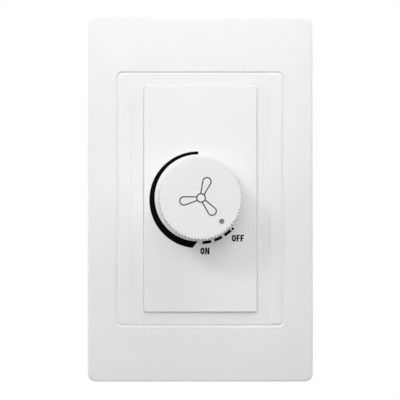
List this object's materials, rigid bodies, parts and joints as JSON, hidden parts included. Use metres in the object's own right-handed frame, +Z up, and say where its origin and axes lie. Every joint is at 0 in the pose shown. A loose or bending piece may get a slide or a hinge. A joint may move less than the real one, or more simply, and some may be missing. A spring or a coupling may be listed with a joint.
{
  "type": "fan speed control switch",
  "caption": "Upright wall plate with a raised dial panel and a knurled rotary knob that switches a fan on and sets its speed, with the regulator in a box behind.",
  "frame": {"origin": "on the wall plane, on the knob's axis, midway between the two wall screw slots", "axes": "+Z up along the plate, +X to the user's right, +Y into the wall; the knob faces -Y"},
  "size_m": [0.074, 0.0447, 0.12],
  "materials": {
    "white_plastic": "satin moulded",
    "knob_plastic": "fine matt moulded",
    "frame_plastic": "moulded",
    "case_plastic": "moulded",
    "block_plastic": "moulded",
    "dark_plastic": "moulded",
    "pale_plastic": "moulded",
    "steel": "zinc plated",
    "bushing_metal": "die cast and turned",
    "brass": "stamped",
    "copper_wire": "enamelled wire",
    "ferrite": "matt",
    "aluminium": "mill finish",
    "track_phenolic": "laminate",
    "board_laminate": "laminate",
    "filter_case": "moulded",
    "timing_dip": "dipped",
    "resistor_coat": "lacquered",
    "diac_glass": "glass body",
    "fuse_ceramic": "glazed"
  },
  "bodies": {
    "switch_body": {"cover_plate": "white_plastic", "dial_panel": "white_plastic", "mounting_frame": "frame_plastic", "rear_case": "case_plastic", "terminal_block": "block_plastic", "triac": "dark_plastic", "switch_base": "dark_plastic", "case_screws": "steel", "pot_can": "steel", "pot_washer": "steel", "pot_nut": "steel", "heatsink_screw": "steel", "heatsink_nut": "steel", "terminal_screws": "steel", "pot_bushing": "bushing_metal", "terminal_clamps": "brass", "track_terminals": "brass", "switch_leaf": "brass", "fixed_contact": "brass", "choke_winding": "copper_wire", "choke_core": "ferrite", "heatsink": "aluminium", "track_board": "track_phenolic", "circuit_board": "board_laminate", "suppression_capacitor": "filter_case", "timing_capacitor": "timing_dip", "resistors": "resistor_coat", "diac": "diac_glass", "fuse": "fuse_ceramic"},
    "dial": {"knob": "knob_plastic", "knob_spring": "steel", "pot_shaft": "bushing_metal", "shaft_clip": "steel", "rotor": "pale_plastic", "wiper": "brass", "switch_cam": "pale_plastic"}
  },
  "joints": [
    {"name": "dial_turn", "type": "hinge", "parent": "switch_body", "child": "dial", "pos_m": [0, 0, 0], "axis": [0, 1, 0], "range_deg": [0, 220]}
  ]
}
